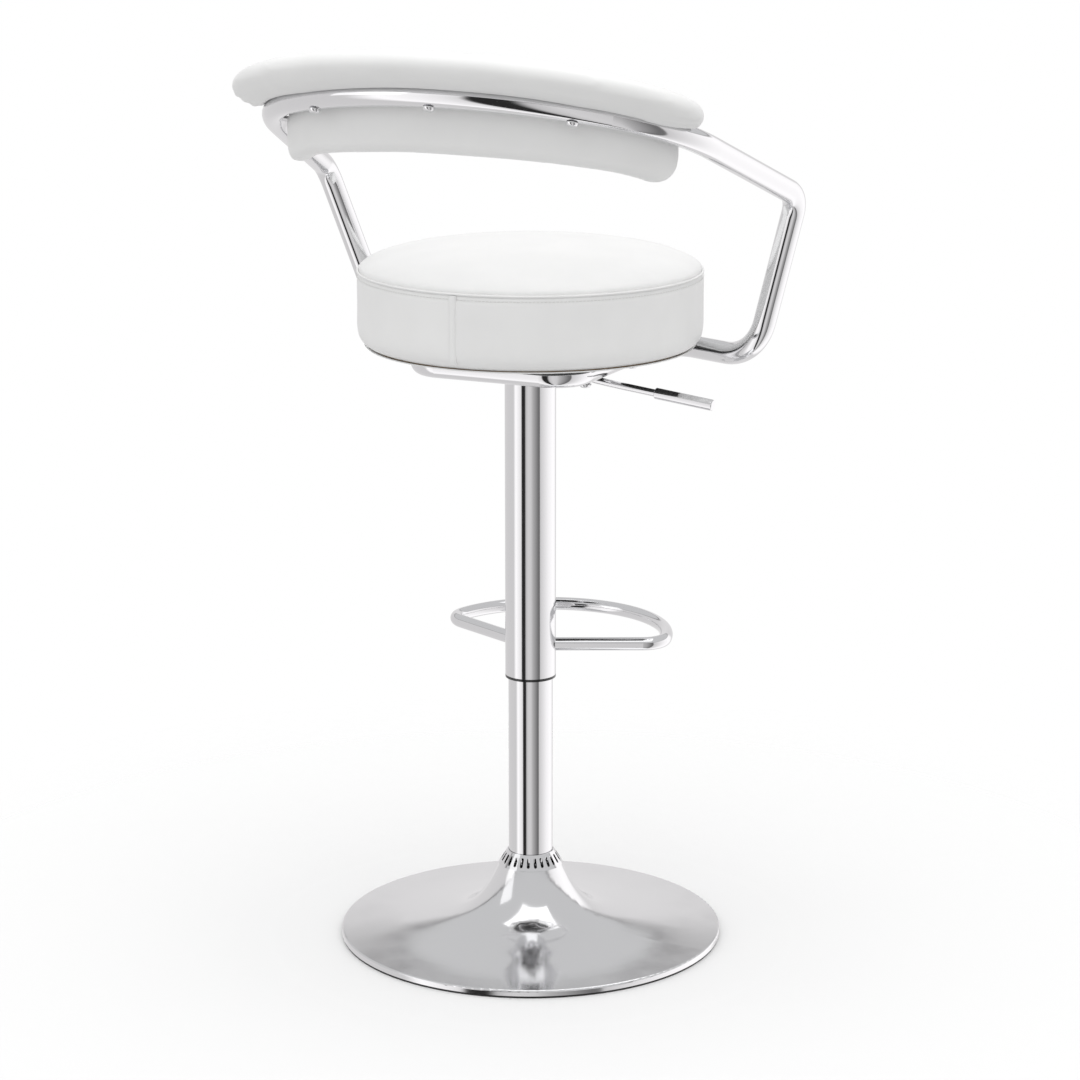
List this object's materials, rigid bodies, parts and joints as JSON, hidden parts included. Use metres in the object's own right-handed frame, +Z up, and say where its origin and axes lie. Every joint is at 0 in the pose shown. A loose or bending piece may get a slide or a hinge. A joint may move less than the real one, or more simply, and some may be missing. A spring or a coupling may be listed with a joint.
{
  "type": "adjustable swivel stool",
  "caption": "Swivel bar stool with a gas-lift column, trumpet base, footrest hoop, round padded seat and a curved padded back on a bent tube frame with arms.",
  "frame": {"origin": "where the column's axis meets the floor", "axes": "+Z up along the column, +Y to the seat's front, +X to the sitter's right, where the release lever is"},
  "size_m": [0.5938, 0.502, 1.0272],
  "materials": {
    "chrome": "polished chrome plate",
    "rubber": "matt black",
    "iron": "as cast, painted",
    "black_steel": "satin black powder coat",
    "steel": "bright zinc",
    "nylon": "natural nylon",
    "black_plastic": "moulded black",
    "plywood": "raw plywood",
    "foam": "cut polyurethane foam",
    "white_vinyl": "satin white leathercloth with a fine grain",
    "lining": "black non-woven lining"
  },
  "bodies": {
    "base": {"base_liner": "rubber", "base_ballast": "iron", "base_shell": "chrome", "base_collar": "chrome", "base_socket": "black_steel", "column_tube": "chrome", "column_foot": "black_steel", "thrust_washer": "nylon", "bump_stop": "rubber", "guide_bush": "nylon"},
    "gas_rod": {"piston_rod": "steel", "piston": "steel", "rod_clip": "steel"},
    "seat_unit": {"gas_cylinder": "black_steel", "cylinder_gland": "steel", "column_sleeve": "chrome", "sleeve_ring": "black_plastic", "sleeve_spacer": "nylon", "footrest_hoop": "chrome", "taper_socket": "black_steel", "seat_plate": "black_steel", "plate_bolts": "steel", "plate_inserts": "steel", "seat_board": "plywood", "seat_foam": "foam", "seat_cover": "white_vinyl", "dust_cover": "lining", "seat_cradle": "chrome", "arm_tube_left": "chrome", "arm_tube_right": "chrome", "back_rail": "chrome", "frame_bolts": "chrome", "frame_inserts": "steel", "bolster_board": "plywood", "pad_board": "plywood", "back_bolts": "chrome", "back_inserts": "steel", "pad_studs": "chrome", "bolster_foam": "foam", "bolster_cover": "white_vinyl", "pad_foam": "foam", "pad_cover": "white_vinyl", "lever_bracket": "black_steel", "pivot_pin": "steel"},
    "lever": {"lever_rod": "chrome", "lever_grip": "chrome"},
    "release_pin": {"release_pin": "steel"}
  },
  "joints": [
    {"name": "swivel", "type": "hinge", "parent": "base", "child": "gas_rod", "pos_m": [0, 0, 0.05], "axis": [0, 0, 1], "continuous": true},
    {"name": "lift", "type": "slide", "parent": "gas_rod", "child": "seat_unit", "axis": [0, 0, 1], "range_m": [-0.2, 0]},
    {"name": "lever_pull", "type": "hinge", "parent": "seat_unit", "child": "lever", "pos_m": [0.032, 0, 0.657], "axis": [0, -1, 0], "range_deg": [0, 4], "stiffness_Nm_per_rad": 8, "springref_deg": -5.16},
    {"name": "pin_press", "type": "slide", "parent": "seat_unit", "child": "release_pin", "axis": [0, 0, -1], "range_m": [0, 0.0024]}
  ],
  "couplings": [
    {"joint": "pin_press", "follows": "lever_pull", "m_per_rad": 0.032}
  ]
}
